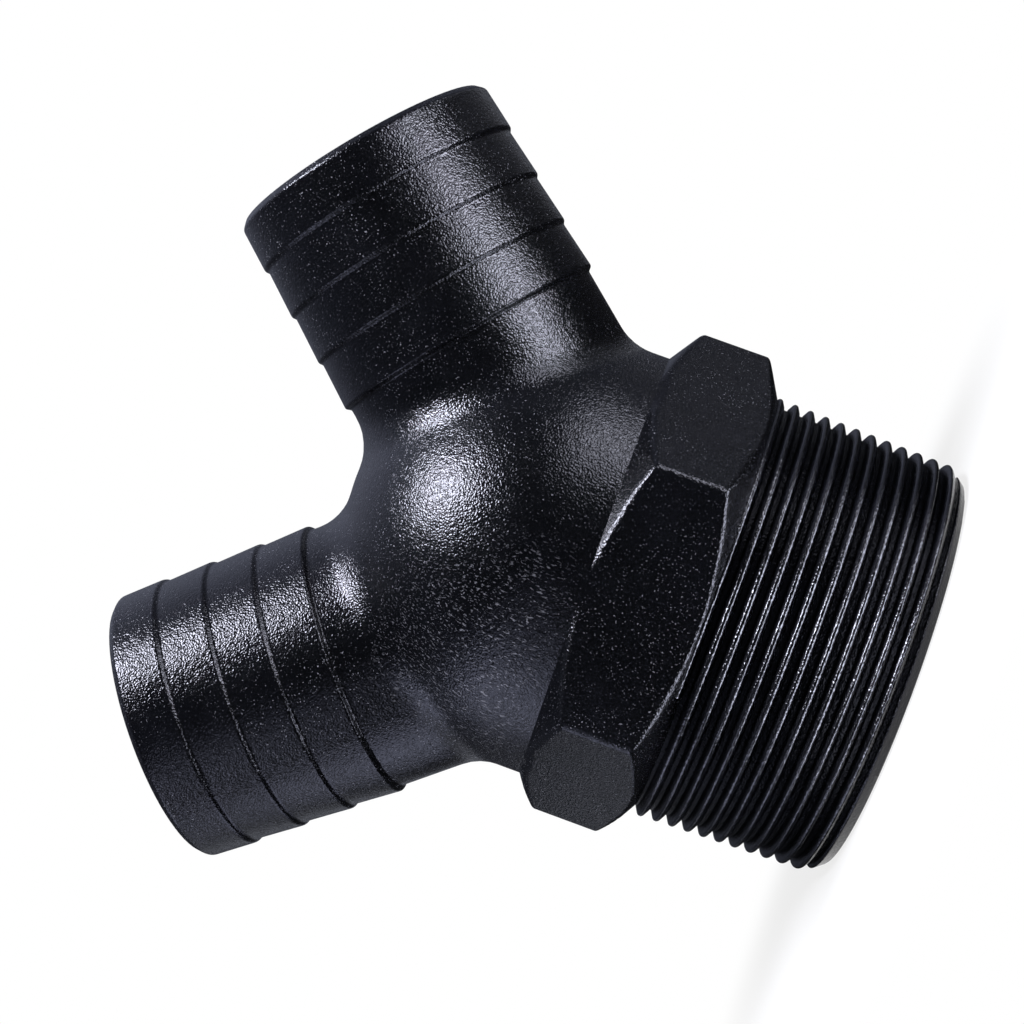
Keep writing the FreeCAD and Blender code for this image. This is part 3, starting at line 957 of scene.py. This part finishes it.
def curtain_brightness(tree):
    towards = tree.nodes.new("ShaderNodeVectorMath")
    towards.operation = "DOT_PRODUCT"
    towards.inputs[1].default_value = BRIGHT_SIDE
    tree.links.new(object_place(tree), towards.inputs[0])
    height = ranged(tree, towards.outputs["Value"], BRIGHT_FROM, CURTAIN_RADIUS, 0.0, 1.0)
    curve = math_node(tree, "POWER", height, BRIGHT_CURVE)
    level = ranged(tree, curve, 0.0, 1.0, DARK_LEVEL, BRIGHT_LEVEL)
    across = math_node(tree, "ABSOLUTE", parts_of_place(tree)["X"])
    return math_node(tree, "ADD", level, ranged(tree, across, SIDES_FROM, SIDES_TO, 0.0, SIDES_LEVEL))


def hang(name, mesh, material):
    mesh.materials.append(material)
    made = placed_object(name, mesh)
    made.visible_camera = False
    made.visible_diffuse = False
    made.visible_shadow = False
    made.visible_transmission = False


curtain_mesh = bpy.data.meshes.new("dark_curtain")
curtain = bmesh.new()
bmesh.ops.create_uvsphere(curtain, u_segments=PANELS_ROUND, v_segments=PANELS_HIGH, radius=CURTAIN_RADIUS)
curtain.to_mesh(curtain_mesh)
curtain.free()
hang("dark_curtain", curtain_mesh, glowing_cloth("dark_curtain", CURTAIN_COLOUR, curtain_brightness))
print("curtain of", len(curtain_mesh.polygons), "panels")

# %% [markdown]
# The table would shine up into the underside of every barb, so it gets a dark
# cloth, again only for reflections, with a hole for the fitting. Round the foot,
# at the front, the cloth carries a bright ring. The crests of the thread mirror
# it in their lower corners, as thin parallel lines.

# %% Lay the table cloth
CLOTH_HOLE, CLOTH_HEIGHT, CLOTH_POINTS = 30.5 * MM, 0.2 * MM, 64
CLOTH_COLOUR = (0.86, 0.90, 1.04, 1.0)
RING_INNER, RING_OUTER, RING_LEVEL = (36 * MM, 41 * MM), (48 * MM, 58 * MM), 10.0
RING_FRONT, RING_LEFT = (-32 * MM, -12 * MM), (-34 * MM, -20 * MM)
EDGE_FROM, EDGE_TO = 0.10, 0.40
CLOTH_DARK, CLOTH_EDGE = 0.02, 0.40


def cloth_brightness(tree):
    parts = parts_of_place(tree)
    out = distance_out(tree)
    ring = ranged(tree, out, *RING_INNER, 0.0, RING_LEVEL, smooth=True)
    for value, limits, before, after in (
        (out, RING_OUTER, 1.0, 0.0),
        (parts["Y"], RING_FRONT, 1.0, 0.0),
        (parts["X"], RING_LEFT, 0.0, 1.0),
    ):
        ring = math_node(tree, "MULTIPLY", ring, ranged(tree, value, *limits, before, after, smooth=True))
    across = math_node(tree, "ABSOLUTE", parts["X"])
    edge = ranged(tree, across, EDGE_FROM, EDGE_TO, CLOTH_DARK, CLOTH_EDGE, smooth=True)
    return math_node(tree, "ADD", edge, ring)


def ring_mesh(name, inner, outer, height, count):
    turns = [2 * math.pi * i / count for i in range(count)]
    points = [(out * math.cos(t), out * math.sin(t), height) for out in (inner, outer) for t in turns]
    faces = [(i, count + i, count + (i + 1) % count, (i + 1) % count) for i in range(count)]
    mesh = bpy.data.meshes.new(name)
    mesh.from_pydata(points, [], faces)
    return mesh


cloth_mesh = ring_mesh("dark_table_cloth", CLOTH_HOLE, CURTAIN_RADIUS, CLOTH_HEIGHT, CLOTH_POINTS)
hang("dark_table_cloth", cloth_mesh, glowing_cloth("dark_table_cloth", CLOTH_COLOUR, cloth_brightness))
print("cloth of", len(cloth_mesh.polygons), "panels")

# %% [markdown]
# ## Hand the pieces over
# Both pieces belong to the one rigid body. The moulding stands for the solid it
# was copied from, and the thread goes with it.

# %% Tie the pieces to the body
for piece in (body, thread):
    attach(piece, "root")
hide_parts("wye_body")

bpy.context.scene.view_settings.view_transform = "Standard"
